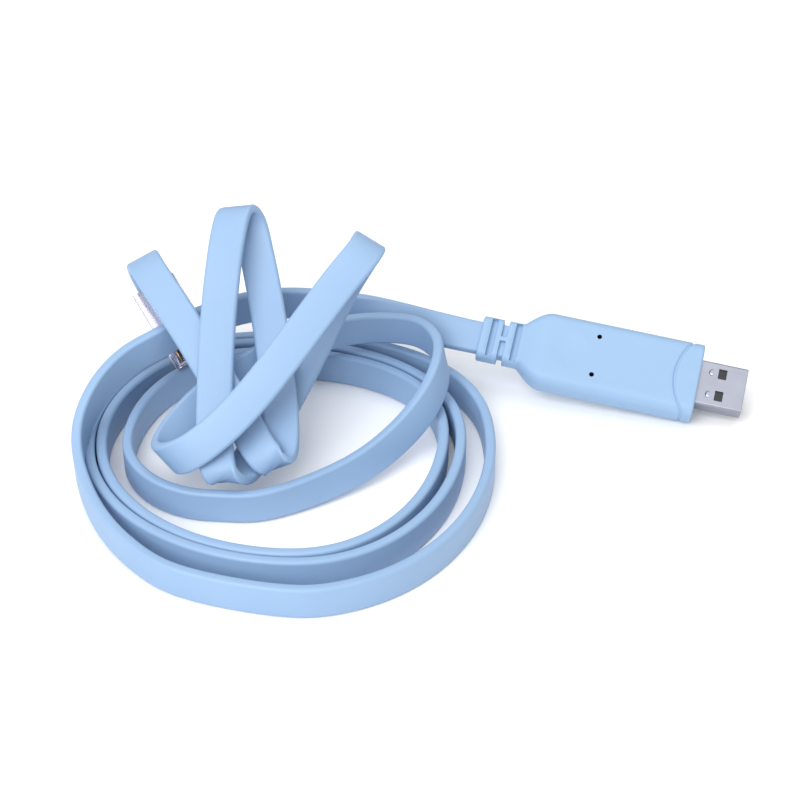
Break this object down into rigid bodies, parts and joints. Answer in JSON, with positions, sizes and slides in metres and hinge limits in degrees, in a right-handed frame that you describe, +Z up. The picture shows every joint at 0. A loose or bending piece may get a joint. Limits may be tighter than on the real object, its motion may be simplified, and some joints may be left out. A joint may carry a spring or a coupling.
{
  "type": "console cable",
  "caption": "Light blue flat console cable, coiled on edge, with a moulded USB-A plug at one end and a clear modular plug at the other.",
  "frame": {"origin": "on the floor, below the middle of the USB plug's bounding box (housing, shell and contacts)", "axes": "+Z up; +X towards the USB plug's tip side, away from the coil; -Y towards the side the picture looks from"},
  "size_m": [0.1663, 0.0991, 0.0528],
  "materials": {
    "soft_pvc": "soft matt light blue PVC",
    "nickel_steel": "nickel-plated folded sheet steel",
    "black_plastic": "moulded black insulator",
    "gold_plate": "gold-plated contact",
    "clear_polycarbonate": "clear glossy polycarbonate",
    "core_grey": "grey conductor insulation",
    "core_brown": "brown conductor insulation",
    "core_yellow": "yellow conductor insulation",
    "core_green": "green conductor insulation",
    "core_red": "red conductor insulation",
    "core_black": "black conductor insulation",
    "core_orange": "orange conductor insulation",
    "core_blue": "blue conductor insulation"
  },
  "bodies": {
    "root": {"usb_overmould": "soft_pvc", "usb_shell": "nickel_steel", "usb_tongue": "black_plastic", "usb_contact_1": "gold_plate", "usb_contact_2": "gold_plate", "usb_contact_3": "gold_plate", "usb_contact_4": "gold_plate", "flat_cable": "soft_pvc", "rj45_body": "clear_polycarbonate", "rj45_contact_1": "gold_plate", "rj45_contact_2": "gold_plate", "rj45_contact_3": "gold_plate", "rj45_contact_4": "gold_plate", "rj45_contact_5": "gold_plate", "rj45_contact_6": "gold_plate", "rj45_contact_7": "gold_plate", "rj45_contact_8": "gold_plate", "rj45_core_1": "core_grey", "rj45_core_2": "core_brown", "rj45_core_3": "core_yellow", "rj45_core_4": "core_green", "rj45_core_5": "core_red", "rj45_core_6": "core_black", "rj45_core_7": "core_orange", "rj45_core_8": "core_blue"}
  },
  "joints": []
}
